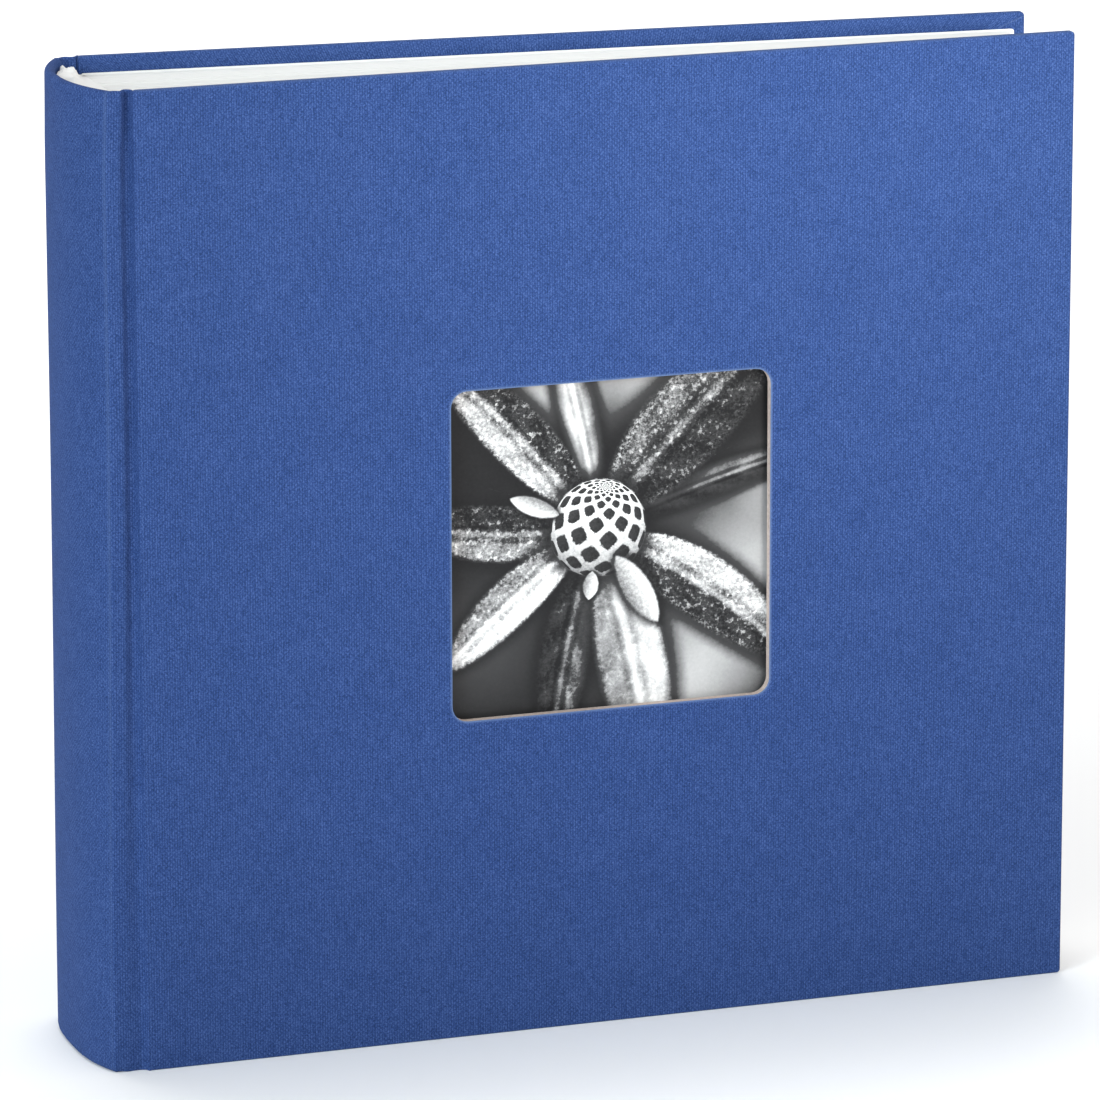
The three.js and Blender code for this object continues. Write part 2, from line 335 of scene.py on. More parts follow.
def paper(name, colour, grain=0.02):
    s = Shader(name, 0.75, 0.25)
    x, y, z = s.position()
    fibre = s.noise(s.vector(x * 700, y * 700, z * 700), 4.0, 0.65)
    cloud = s.noise(s.vector(x * 45, y * 45, z * 45), 3.0)
    tone = ((fibre - 0.5) * grain * 6 + (cloud - 0.5) * grain * 3 + 0.5).clip()
    dark = tuple(c * (1 - grain * 3) for c in colour)
    light = tuple(min(c * (1 + grain), 0.98) for c in colour)
    s.colour(s.colours(tone, (0.1, dark), (0.9, light)))
    s.bump(fibre, 0.03 * MM, 0.35)
    return s.material


def greyboard():
    s = Shader("greyboard", 0.95, 0.1)
    x, y, z = s.position()
    plies = s.noise(s.vector(x * 60, y * 2600, z * 60), 3.0, 0.6)
    flecks = s.noise(s.vector(x * 900, y * 900, z * 900), 3.0, 0.7)
    tone = ((plies - 0.5) * 0.9 + (flecks - 0.5) * 0.8 + 0.5).clip()
    s.colour(s.colours(tone, (0.15, (0.33, 0.25, 0.22)), (0.5, (0.52, 0.42, 0.375)),
                       (0.85, (0.70, 0.61, 0.56))))
    s.bump(plies * 0.6 + flecks * 0.6, 0.12 * MM, 0.6)
    return s.material


def glassine():
    s = Shader("glassine", 0.42, 0.45)
    x, y, z = s.position()
    fibre = s.noise(s.vector(x * 320, y * 320, z * 320), 4.0, 0.7)
    cloud = s.noise(s.vector(x * 60, y * 60, z * 60), 2.0)
    tone = ((fibre - 0.5) * 0.7 + (cloud - 0.5) * 0.5 + 0.5).clip()
    s.colour(s.colours(tone, (0.1, (0.64, 0.65, 0.63)), (0.9, (0.73, 0.74, 0.72))))
    s.bsdf.inputs["Transmission Weight"].default_value = 0.25
    s.bump(fibre * 0.5 + cloud, 0.05 * MM, 0.4)
    return s.material


def mull():
    s = Shader("mull", 0.95, 0.1)
    _, y, z = s.position()
    pitch = math.pi / (0.9 * MM)
    threads = (y * pitch).math("SINE") * (z * pitch).math("SINE")
    wear = s.noise(s.vector(y * 300, z * 300), 3.0)
    s.colour(s.colours((threads * 0.3 + wear * 0.6 + 0.2).clip(), (0.1, (0.52, 0.48, 0.38)),
                       (0.9, (0.84, 0.81, 0.72))))
    s.bump(threads, 0.2 * MM, 0.6)
    return s.material


def disc(p, q, px, pz, radius):
    """1 in the middle of a soft round patch, 0 outside it."""
    far = ((p - px) * (p - px) + (q - pz) * (q - pz)).power(0.5)
    return 1 - far.ramp(0.0, radius)


HUB = (0.47, 0.545)     # the bud, as shares of the window
PATCHES = (             # blurred light behind the leaves: x, z, radius, light
    (0.31, 0.99, 0.30, 0.58), (0.62, 1.00, 0.24, 0.56), (0.98, 0.40, 0.46, 0.58),
    (0.74, 0.02, 0.42, 0.62), (0.10, 0.22, 0.30, 0.24), (1.00, 0.66, 0.16, 0.20),
)
LEAF_SHAPES = (         # angle, start, length, width, bend, light, dark, blur, specks
    (98, 0.02, 0.66, 0.070, -0.05, 0.86, 0.62, 0.60, 0.10),
    (20, 0.05, 0.66, 0.060, 0.05, 0.46, 0.10, 0.40, 0.15),
    (50, 0.05, 0.74, 0.150, 0.07, 0.34, 0.09, 0.14, 0.85),
    (128, 0.05, 0.70, 0.100, -0.06, 0.66, 0.10, 0.12, 1.00),
    (181, 0.09, 0.50, 0.095, 0.06, 0.50, 0.08, 0.12, 1.00),
    (252, 0.08, 0.62, 0.090, -0.07, 0.34, 0.10, 0.30, 0.40),
    (286, 0.09, 0.70, 0.125, 0.05, 0.82, 0.50, 0.16, 0.30),
    (331, 0.07, 0.70, 0.110, 0.09, 0.70, 0.12, 0.10, 1.00),
    (214, 0.07, 0.56, 0.085, -0.06, 0.92, 0.46, 0.12, 0.80),
)
BUD_SCALES = (          # angle, start, length, width
    (158, 0.13, 0.17, 0.034), (302, 0.10, 0.26, 0.052), (262, 0.13, 0.09, 0.030),
)
BUD_RADIUS = 0.150
SPIRALS = 9


def in_leaf(p, q, angle, start, length, width, bend=0.0):
    """Along and across one leaf: 0 to 1 from foot to tip, and half-widths off its midrib."""
    cosine, sine = math.cos(math.radians(angle)), math.sin(math.radians(angle))
    u = ((p - HUB[0]) * cosine + (q - HUB[1]) * sine - start) / length
    v = ((q - HUB[1]) * cosine - (p - HUB[0]) * sine) / width
    return u, v + u * u * (bend / width)


def bud(p, q, grain):
    """A ball of hairy-edged scales set in two crossing spirals: its tone and its outline."""
    dx, dz = (p - HUB[0]) / BUD_RADIUS, (q - HUB[1]) / BUD_RADIUS
    far2 = dx * dx + dz * dz
    near = (1 - far2).math("MAXIMUM", 0.0).power(0.5)
    pole = Vector((0.16, 0.55, 0.82)).normalized()
    across = (Vector((1, 0, 0)) - pole * pole.x).normalized()
    third = pole.cross(across)

    def along(axis):
        return dx * axis.x + near * axis.y + dz * axis.z

    height = along(pole)
    turn = along(third).math("ARCTAN2", along(across)) / (2 * math.pi)
    slope = (1 - height * height).math("MAXIMUM", 0.0001).power(0.5) / (height + 1.0001)
    reach = slope.math("LOGARITHM", math.e) / (2 * math.pi)
    shake = (grain - 0.5) * 0.22
    one = (turn * SPIRALS + reach * SPIRALS + shake).math("FRACT") - 0.5
    two = (turn * SPIRALS - reach * SPIRALS - shake).math("FRACT") - 0.5
    round_off = (one * one + two * two).power(0.5)
    pit = 1 - (abs(one).math("MAXIMUM", abs(two)) * 0.55 + round_off * 0.45).ramp(0.31, 0.40)
    light = dz * 0.26 + near * 0.30 + 0.60
    hollow = (one * 0.5 + two * 0.5 + 0.5) * 0.34 + (grain - 0.5) * 0.5
    tone = blend_values(light + (grain - 0.5) * 0.5, hollow * light, pit)
    outline = 1 - (far2.power(0.5) + (grain - 0.5) * 0.10).ramp(0.97, 1.03)
    return tone, outline, far2.power(0.5)


def picture():
    """A made-up black-and-white close-up of a budding plant."""
    s = Shader("picture", 0.4, 0.12)
    x, _, z = s.position()
    p = (x - (X0 + WINDOW.x - WINDOW_SIZE / 2)) / WINDOW_SIZE
    q = (z - (WINDOW.y - WINDOW_SIZE / 2)) / WINDOW_SIZE
    grain = s.noise(s.vector(p * 95, q * 95), 3.0, 0.75)
    blotch = s.noise(s.vector(p * 22, q * 22), 4.0, 0.65)
    cells = s.noise(s.vector(p * 55, q * 55, 5.0), 2.0, 0.6)

    tone = blotch * 0.05 + 0.01
    for px, pz, radius, light in PATCHES:
        tone = tone + disc(p, q, px, pz, radius) * light

    for angle, start, length, width, bend, light, dark, blur, specks in LEAF_SHAPES:
        u, v = in_leaf(p, q, angle, start, length, width, bend)
        half = (u * (1 - u)).math("MAXIMUM", 0.0001).power(0.62) * 2.3 + (cells - 0.5) * 0.10
        side = abs(v)
        reached = u.ramp(-0.15, 0.10) * (1 - u.ramp(0.95, 1.15))
        shade = (half - side).ramp(-0.45, 0.10) * reached
        tone = tone * (1 - shade * 0.72)
        mask = (half - side).ramp(0.0, u.math("MAXIMUM", 0.0) * 0.25 + blur)
        lit = v.ramp(-0.55, 0.45) * (light - dark) + dark
        rib = 1 - side.ramp(0.02, 0.12)
        furrow = (1 - abs(side - 0.20).ramp(0.0, 0.14)) * -0.16
        veins = (u * 30 - side * 6 + cells * 3).math("SINE") * 0.07
        speck = cells.ramp(0.52, 0.66) * (blotch * 1.1) * (0.55 * specks)
        rim = (1 - (half - side).ramp(0.0, 0.30)) * grain.ramp(0.42, 0.58) * (0.55 * specks)
        fuzz = (grain - 0.5) * (0.9 * specks + 0.1)
        inside = lit + rib * 0.16 + furrow + veins + speck + rim + fuzz + (blotch - 0.5) * 0.35
        tone = blend_values(tone, inside, mask)

    ball, outline, far = bud(p, q, grain)
    tone = tone * (far.ramp(0.92, 1.38) * 0.85 + 0.15)
    tone = blend_values(tone, ball, outline)

    for angle, start, length, width in BUD_SCALES:
        u, v = in_leaf(p, q, angle, start, length, width)
        half = (u * (1 - u)).math("MAXIMUM", 0.0001).power(0.7) * 2.5 + (cells - 0.5) * 0.12
        reached = u.ramp(-0.10, 0.05) * (1 - u.ramp(1.0, 1.10))
        tone = tone * (1 - (half - abs(v)).ramp(-0.7, 0.1) * reached * 0.7)
        mask = (half - abs(v)).ramp(0.0, 0.25)
        inside = v.ramp(-1.2, 0.6) * 0.50 + u * 0.16 + 0.28 + (grain - 0.5) * 0.6
        tone = blend_values(tone, inside, mask)

    tone = (tone + (grain - 0.5) * 0.08).clip()
    s.colour(s.colours(tone, (0.0, (0.012, 0.012, 0.013)), (0.28, (0.050, 0.050, 0.052)),
                       (0.56, (0.33, 0.33, 0.335)), (0.92, (0.84, 0.84, 0.84))))
    return s.material


# ---------------------------------------------------------------- mesh helpers
def make_piece(name, points, faces, material, slot, sharp_angle, weave=None, cut=None):
    """One visible piece. Its edges look sharp from sharp_angle degrees, and all of them if it is 0."""
    mesh = bpy.data.meshes.new(name)
    mesh.from_pydata([tuple(p) for p in points], [], faces)
    mesh.validate()
    for polygon in mesh.polygons:
        polygon.use_smooth = sharp_angle > 0
    if sharp_angle:
        mesh.set_sharp_from_angle(angle=math.radians(sharp_angle))
    for label, values in (("weave", weave), ("cut", cut)):
        if values is not None:
            layer = mesh.attributes.new(label, "FLOAT_VECTOR", "POINT")
            layer.data.foreach_set("vector", np.array(values, np.float32).ravel())
    mesh.materials.append(material)
    piece = bpy.data.objects.new(name, mesh)
    bpy.context.scene.collection.objects.link(piece)
    return piece


def loop_faces(rings, count, closed_rings, caps):
    """Quads between rings of count points; the last ring joins the first if closed_rings."""
    faces = []
    for r in range(rings if closed_rings else rings - 1):
        a, b = r * count, (r + 1) % rings * count
        for i in range(count):
            j = (i + 1) % count
            faces.append((a + i, b + i, b + j, a + j))
    if caps:
        faces.append(tuple(range(count)))
        faces.append(tuple(reversed(range((rings - 1) * count, rings * count))))
    return faces


def flipped(faces):
    """The same faces turned to face the other way."""
    return [tuple(reversed(f)) for f in faces]


def slab_faces(columns, rows):
    """Faces of a closed slab whose two sides are grids of columns by rows, one after the other."""
    side = (columns + 1) * (rows + 1)

    def at(i, j, k):
        return k * side + i * (rows + 1) + j

    faces = []
    for i in range(columns):
        for j in range(rows):
            faces.append((at(i, j, 0), at(i + 1, j, 0), at(i + 1, j + 1, 0), at(i, j + 1, 0)))
            faces.append((at(i, j, 1), at(i, j + 1, 1), at(i + 1, j + 1, 1), at(i + 1, j, 1)))
        faces.append((at(i, 0, 0), at(i, 0, 1), at(i + 1, 0, 1), at(i + 1, 0, 0)))
        faces.append((at(i, rows, 0), at(i + 1, rows, 0), at(i + 1, rows, 1), at(i, rows, 1)))
    for j in range(rows):
        faces.append((at(0, j, 0), at(0, j + 1, 0), at(0, j + 1, 1), at(0, j, 1)))
        faces.append((at(columns, j, 0), at(columns, j, 1), at(columns, j + 1, 1), at(columns, j + 1, 0)))
    return faces


def smooth(t):
    """0 up to 0, 1 from 1 on, and an S-curve in between."""
    t = min(max(t, 0.0), 1.0)
    return t * t * (3 - 2 * t)


def resample(route, count):
    """A polyline cut into count equal steps."""
    lengths = [0.0]
    for a, b in zip(route, route[1:]):
        lengths.append(lengths[-1] + (b - a).length)
    result = []
    k = 0
    for i in range(count + 1):
        goal = lengths[-1] * i / count
        while k < len(route) - 2 and lengths[k + 1] < goal:
            k += 1
        span = lengths[k + 1] - lengths[k]
        result.append(route[k].lerp(route[k + 1], (goal - lengths[k]) / span if span else 0))
    return result


def fillet(points, radii, steps=6):
    """A polyline with its inner corners rounded to the given radii."""
    route = [points[0]]
    for k in range(1, len(points) - 1):
        here, before, after = points[k], points[k - 1], points[k + 1]
        a, b = (before - here).normalized(), (after - here).normalized()
        half = a.angle(b) / 2
        run = min(radii[k - 1] / math.tan(half), (before - here).length * 0.49, (after - here).length * 0.49)
        p, q = here + a * run, here + b * run
        for i in range(steps + 1):
            t = i / steps
            route.append(p * (1 - t) ** 2 + here * (2 * t * (1 - t)) + q * t ** 2)
    route.append(points[-1])
    return route


def rounded_rect(x0, z0, x1, z1, r):
    """Points round a rectangle, the same number whatever its size."""
    corner_steps, side_steps = 6, 20
    points = []
    corners = ((x1 - r, z0 + r, -90), (x1 - r, z1 - r, 0), (x0 + r, z1 - r, 90), (x0 + r, z0 + r, 180))
    for k, (cx, cz, first) in enumerate(corners):
        arc = [Vector((cx + r * math.cos(math.radians(first + 90 * i / corner_steps)),
                       cz + r * math.sin(math.radians(first + 90 * i / corner_steps))))
               for i in range(corner_steps + 1)]
        points += arc
        nx, nz, start = corners[(k + 1) % 4]
        goal = Vector((nx + r * math.cos(math.radians(start)), nz + r * math.sin(math.radians(start))))
        points += [arc[-1].lerp(goal, i / side_steps) for i in range(1, side_steps)]
    return points


def cover_outline(inset):
    """Points round a cover, this far in from its edges."""
    return rounded_rect(inset, inset, WIDTH - inset, HEIGHT - inset, max(CORNER_R - inset, 0.3 * MM))


def window_outline(grow=0.0):
    """Points round the window, this far out from its edges."""
    half = WINDOW_SIZE / 2 + grow
    return rounded_rect(WINDOW.x - half, WINDOW.y - half, WINDOW.x + half, WINDOW.y + half,
                        WINDOW_R + grow)


def middle_outline():
    """A small square at the middle of a cover, where the rings of a cover without window end."""
    return rounded_rect(WIDTH / 2 - MM, HEIGHT / 2 - MM, WIDTH / 2 + MM, HEIGHT / 2 + MM, 0.3 * MM)


# ---------------------------------------------------------------- placing on the covers
BACK_HINGE = Vector(JOINTS["back_cover_open"]["pos_m"])
FRONT_HINGE = Vector(JOINTS["front_cover_open"]["pos_m"])
BACK_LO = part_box("back_cloth")[0]
HINGE_X, HINGE_Y = FRONT_HINGE.x - X0, FRONT_HINGE.y - Y0


def back_tilt():
    """How far the back cover leans in: its node's box is its width turned by this angle."""
    reach = WIDTH - HINGE_X
    fore_y = BACK_LO.y + COVER_T
    return math.asin((BACK_HINGE.y + HINGE_Y - fore_y) / reach)


TILT = back_tilt()


def on_front(x, depth, z):
    """A point of the front cover: x from its groove-side edge, depth in from its outer face."""
    return Vector((X0 + x, Y0 + depth, z))


def on_back(x, depth, z):
    """The same point of the back cover, which leans in towards the fore-edge."""
    dx, dy = x - HINGE_X, HINGE_Y - depth
    c, s = math.cos(TILT), math.sin(TILT)
    return Vector((BACK_HINGE.x + dx * c + dy * s, BACK_HINGE.y - dx * s + dy * c, z))


# ---------------------------------------------------------------- covers
FACE_STEPS = 14
EDGE_WEAR_AND_HIGHLIGHT = 0.24       # painted highlight over a board's round edge, where light from above falls, with the stretched cloth's pale fibres
LAP = 0.25 * MM        # the fore-edge turn-in stands this far over the other two
EDGE_R, EDGE_STEPS = 0.6 * MM, 5
TURN_R = 0.7 * MM      # round of the cloth from the edge into the turn-in
WINDOW_ROUND = 0.9 * MM


def face_rings(has_window, depth):
    """Rings over one side of the cloth, from the window or the middle out to the round edge."""
    rings = []
    if has_window:
        hub = window_outline(WINDOW_ROUND)
        outside = depth == 0
        rings.append((window_outline(), 0.05 * MM if outside else depth, 1.0))
        if outside:
            rings.append((window_outline(WINDOW_ROUND / 2), depth, 0.25))
            rings.append((hub, depth, 0.0))
    else:
        hub = middle_outline()
        rings.append((hub, depth, 0.0))
    outer = cover_outline(EDGE_R)
    for k in range(1, FACE_STEPS + 1):
        rings.append(([a.lerp(b, k / FACE_STEPS) for a, b in zip(hub, outer)], depth, 0.0))
    return [(outline, depth, outline, cut) for outline, depth, cut in rings]


def cover_rings(has_window):
    """(outline, depth, weave outline, cut) of each ring round the cloth of one cover: out over the
    face, round the edge, over the turn-in, and back along the glued side."""
    rings = face_rings(has_window, 0.0)
    # The round edge and the edge itself are paled: a painted highlight, with the stretched cloth's pale
    # fibres.
    for k in range(1, EDGE_STEPS + 1):
        turn = math.radians(90 * k / EDGE_STEPS)
        rings.append((cover_outline(EDGE_R * (1 - math.sin(turn))), EDGE_R * (1 - math.cos(turn)),
                      cover_outline(EDGE_R - EDGE_R * turn), EDGE_WEAR_AND_HIGHLIGHT * k / EDGE_STEPS))
    deep = COVER_T - LAP
    path = EDGE_R * (math.pi / 2 - 1) + deep - TURN_R - EDGE_R
    rings.append((cover_outline(0), deep - TURN_R, cover_outline(-path), EDGE_WEAR_AND_HIGHLIGHT))
    for k in range(1, 5):
        turn = math.radians(90 * k / 4)
        rings.append((cover_outline(TURN_R * (1 - math.cos(turn))), deep - TURN_R * (1 - math.sin(turn)),
                      cover_outline(-(path + TURN_R * turn)), 0))
    path += TURN_R * math.pi / 2
    for inset in (3 * MM, 8 * MM, TURN_IN):
        rings.append((cover_outline(inset), deep, cover_outline(-(path + inset)), 0))
    glued = COVER_T - CLOTH
    rings.append((cover_outline(TURN_IN), glued, cover_outline(-(path + TURN_IN)), 0))
    rings.append((cover_outline(CLOTH), glued, cover_outline(-path), 0))
    rings.append((cover_outline(CLOTH), CLOTH, cover_outline(0), 0))
    return rings + face_rings(has_window, CLOTH)[::-1]


def fore_flap():
    """The turn-in along the fore-edge, which lies over those of head and tail and is cut on a
    slant at each end: points as (x, depth, z), their weave, their cut and the faces."""
    profile = [(0.00, 2.2), (0.02, 2.7), (0.10, 3.0), (0.25, 3.2), (0.50, 3.34), (0.80, 3.4),
               (5.0, 3.4), (15.0, 3.4), (15.0, 3.05), (5.0, 3.05), (0.9, 3.0), (0.45, 2.7), (0.3, 2.2)]
    slant = math.tan(math.radians(23))
    stations = [0.0, 0.0015] + [0.1 * k for k in range(1, 10)] + [0.9985, 1.0]
    points, weave, cut = [], [], []
    for t in stations:
        for inset, depth in profile:
            inset, depth = inset * MM, depth * MM
            low = 0.9 * MM + inset * slant
            z = low + (HEIGHT - 2 * low) * t
            points.append((WIDTH - inset, depth, z))
            weave.append((WIDTH + depth + inset, z, 0))
            paling = 0.35 if t in (0.0, 1.0) else 0.0
            cut.append((paling, paling, paling))
    return points, weave, cut, loop_faces(len(stations), len(profile), False, True)


def cover_cloth(side, place, cloth):
    has_window = side == "front"
    rings = cover_rings(has_window)
    count = len(rings[0][0])
    points, weave, cut = [], [], []
    # how pale the cloth is painted there: pale fibres at the window's cut edge, painted highlight over the
    # board's edges
    for outline, depth, weave_outline, paling in rings:
        for p, w in zip(outline, weave_outline):
            points.append(place(p.x, depth, p.y))
            weave.append((w.x, w.y, 0))
            cut.append((paling, paling, paling))
    faces = loop_faces(len(rings), count, has_window, not has_window)
    flap_points, flap_weave, flap_cut, flap_faces = fore_flap()
    start = len(points)
    points += [place(*p) for p in flap_points]
    weave += flap_weave
    cut += flap_cut
    faces += flipped([tuple(start + i for i in f) for f in flap_faces])
    if side == "back":
        faces = flipped(faces)
    piece = make_piece(f"{side}_cover_cloth", points, faces, cloth, "book_cloth", 40, weave, cut)
    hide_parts(f"{side}_cloth")
    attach(piece, f"{side}_cover")


def cover_board(side, place, material):
    """The greyboard inside the cloth; its raw edge shows in the window."""
    inset = CLOTH + 0.02 * MM
    outer = cover_outline(inset)
    rings = [(outer, BOARD_OUT), (outer, BOARD_IN)]
    if side == "front":
        hub = window_outline(0.02 * MM)
        rings = [(hub, float(depth)) for depth in np.linspace(BOARD_IN, BOARD_OUT, 7)] + rings
    points = [place(p.x, depth, p.y) for outline, depth in rings for p in outline]
    faces = loop_faces(len(rings), len(outer), side == "front", side == "back")
    if side == "back":
        faces = flipped(faces)
    piece = make_piece(f"{side}_greyboard", points, faces, material, "greyboard", 30)
    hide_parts(f"{side}_board")
    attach(piece, f"{side}_cover")


def cover_pastedown(side, place, material):
    """White endpaper glued over the turn-ins: it dips to the board inside them."""

    def outline(inset):
        return rounded_rect(0.8 * MM + inset, 5 * MM + inset, WIDTH - 3.6 * MM - inset,
                            HEIGHT - 5 * MM - inset, 0.8 * MM)

    high, low = COVER_T + 0.02 * MM, BOARD_IN + 0.03 * MM
    profile = [(outline(0), high), (outline(8 * MM), high), (outline(TURN_IN - 4.6 * MM), high),
               (outline(TURN_IN - 3.4 * MM), low)]
    hole = window_outline(1.0 * MM) if side == "front" else middle_outline()
    last = profile[-1][0]
    for k in range(1, 7):
        profile.append(([a.lerp(b, k / 6) for a, b in zip(last, hole)], low))
    rings = profile[::-1] + [(o, d + PAPER) for o, d in profile]
    points = [place(p.x, depth, p.y) for o, depth in rings for p in o]
    faces = loop_faces(len(rings), len(hole), side == "front", side == "back")
    if side == "back":
        faces = flipped(faces)
    piece = make_piece(f"{side}_endpaper", points, faces, material, "endpaper", 30)
    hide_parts(f"{side}_pastedown")
    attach(piece, f"{side}_cover")


# ---------------------------------------------------------------- spine and joints
def arc_point(angle, radius):
    """A point of the spine's round, seen in plan."""
    return Vector((ARC_X - radius * math.cos(angle), SPINE_T / 2 + radius * math.sin(angle)))


DEEP, BACK_DEEP, SHALLOW = 3.9 * MM, 2.2 * MM, 1.8 * MM     # each joint's valley, from the cover's face
JOINT_RADII = [2.0 * MM, 1.8 * MM, 1.5 * MM, 0.9 * MM, 0.5 * MM]
SPINE_STEPS, JOINT_STEPS = 76, 40
SPINE_END = 72          # step at which the spine's stiffener ends
SEAM = 50               # step at which the back joint's strip takes over from the spine's
CREST_HIGHLIGHT = 0.20       # painted highlight along the spine's crest, at its strongest at the head
CREST_REACH = 3         # steps over which the painted highlight fades to either side of the crest
LOW_CREST = (-10.3 * MM, 2.75)      # x of the crest and power of the curve up to it, joint not pressed
HIGH_CREST = (-7.5 * MM, 2.2)       # the same, joint pressed in
JOINT_WALL, SPINE_WALL = 0.8 * MM, 3.1 * MM


def half_plan(valley, crest_x, power):
    """Plan of the cloth from the middle of the spine, over the shoulder, through the joint's
    valley and up the edge of the board onto its face."""
    crest_y, curve_points = 1.3 * MM, 48
    curve = []
    for i in range(curve_points + 1):
        share = 0.97 * i / curve_points
        curve.append(Vector((-BULGE + (BULGE + crest_x) * share ** power,
                             SPINE_T / 2 - (SPINE_T / 2 - crest_y) * share)))
    corners = [Vector((crest_x, crest_y)), Vector((crest_x + 4.2 * MM, crest_y + 0.1 * MM)),
               Vector((-1.9 * MM, valley)), Vector((-0.50 * MM, valley - 0.7 * MM)),
               Vector((-0.20 * MM, -0.03 * MM)), Vector((0.7 * MM, -0.03 * MM))]
    joint = fillet(curve[-1:] + corners, JOINT_RADII)
    return resample(curve, SPINE_STEPS) + resample(joint, JOINT_STEPS)[1:]


def groove_share(z):
    """How far the joint is pressed in at height z: 1 at the head, 0 at the tail."""
    head_zone, slope = 26 * MM, 210 * MM
    return 0.72 * smooth(z / slope) + 0.28 * smooth((z - HEIGHT + head_zone) / head_zone)


def joint_on_front(p):
    return Vector((X0 + p.x, Y0 + p.y))


def joint_on_back(p):
    """The same point of the plan, mirrored to the back and leaning with the back cover."""
    leaning = on_back(p.x, p.y, 0).to_2d()
    return Vector((X0 + p.x, Y0 + SPINE_T - p.y)).lerp(leaning, smooth((p.x + 7 * MM) / (6.5 * MM)))


def standing_strip(name, low_route, high_route, section, place, material, slot, crest=None):
    """A strip standing along a plan route that goes from low_route to high_route as the joint is
    pressed in. section gives (depth, z, weave z) round the strip at a point of the plan. crest is
    the step at which the route goes over the spine's crest, where a highlight is painted on the cloth."""
    points, weave, cut = [], [], []
    last = len(low_route) - 1
    run = 0.0
    for k in range(last + 1):
        if k:
            run += (low_route[k] - low_route[k - 1]).length
        for depth, z, weave_z in section(low_route[k]):
            share = groove_share(z)
            here, before, after = (low_route[i].lerp(high_route[i], share)
                                   for i in (k, max(k - 1, 0), min(k + 1, last)))
            tangent = (after - before).normalized()
            points.append(place(here + Vector((-tangent.y, tangent.x)) * depth).to_3d())
            points[-1].z = z
            weave.append((-run, weave_z, 0))
            # painted highlight along the spine's crest, stronger where the joint is pressed in
            near = max(1 - abs(k - crest) / CREST_REACH, 0) if crest else 0.0
            cut.append([CREST_HIGHLIGHT * (0.3 + 0.7 * share) * near] * 3)
    faces = loop_faces(last + 1, len(section(low_route[0])), False, True)
    if place is joint_on_back:
        faces = flipped(faces)
    return make_piece(name, points, faces, material, slot, 50, weave, cut)


def folded_section(p):
    """Round the cloth, which is folded over at tail and head and on the spine round its stiffener."""
    wall = JOINT_WALL + (SPINE_WALL - JOINT_WALL) * smooth((-6.0 * MM - p.x) / (2.4 * MM))
    r = wall / 2
    skin = min(CLOTH, wall * 0.45)
    rows, turns = 30, 8
    section = []
    for i in range(rows + 1):
        z = r + (HEIGHT - 2 * r) * i / rows
        section.append((0, z, z))
    for i in range(1, turns):
        a = math.pi * i / turns
        section.append((r - r * math.cos(a), HEIGHT - r + r * math.sin(a), HEIGHT - r + r * a))
    top = HEIGHT - r + r * math.pi
    section += [(wall, HEIGHT - r, top), (wall, HEIGHT - TURN_IN, top + TURN_IN),
                (wall - skin, HEIGHT - TURN_IN, top + TURN_IN), (wall - skin, HEIGHT - r, top),
                (skin, HEIGHT - r, HEIGHT), (skin, r, 0), (wall - skin, r, 0),
                (wall - skin, TURN_IN, -TURN_IN), (wall, TURN_IN, -TURN_IN), (wall, r, -r * math.pi)]
    for i in range(1, turns):
        a = math.pi * i / turns
        section.append((r + r * math.cos(a), r - r * math.sin(a), r - r * (math.pi - a)))
    return section


def stiffener_section(_):
    """Round the stiffener, which lies in the fold of the cloth and is the same all along."""
    rows, edge = 20, 1.8 * MM
    up = [edge + (HEIGHT - 2 * edge) * i / rows for i in range(rows + 1)]
    return [(0.5 * MM, z, z) for z in up] + [(1.5 * MM, z, z) for z in reversed(up)]


def make_spine(cloth, board):
    low, high = half_plan(SHALLOW, *LOW_CREST), half_plan(DEEP, *HIGH_CREST)
    back_high = half_plan(BACK_DEEP, *HIGH_CREST)

    def whole(half, first, last):
        """A route from step first of the mirrored half to step last of the half itself."""
        return [Vector((p.x, SPINE_T - p.y)) for p in reversed(half[1:first])] + half[:last]

    spine = standing_strip("spine_and_front_joint_cloth", whole(low, SEAM + 1, None),
                           whole(high, SEAM + 1, None), folded_section, joint_on_front, cloth,
                           "book_cloth", SEAM + SPINE_STEPS)
    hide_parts("spine_cloth", "front_joint_cloth")
    on_front(-7.0 * MM, 0, 0)
    on_front(-0.5 * MM, 0, 0)
    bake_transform(spine)
    back = standing_strip("back_joint_strip", low[SEAM:], back_high[SEAM:], folded_section,
                          joint_on_back, cloth, "book_cloth", SPINE_STEPS - SEAM)
    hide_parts("back_joint_cloth")
    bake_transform(back)
    stiffener = standing_strip("spine_board", whole(low, SPINE_END, SPINE_END),
                               whole(high, SPINE_END, SPINE_END), stiffener_section, joint_on_front,
                               board, "stiffener_card")
    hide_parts("spine_stiffener")
    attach(stiffener, "text_block")


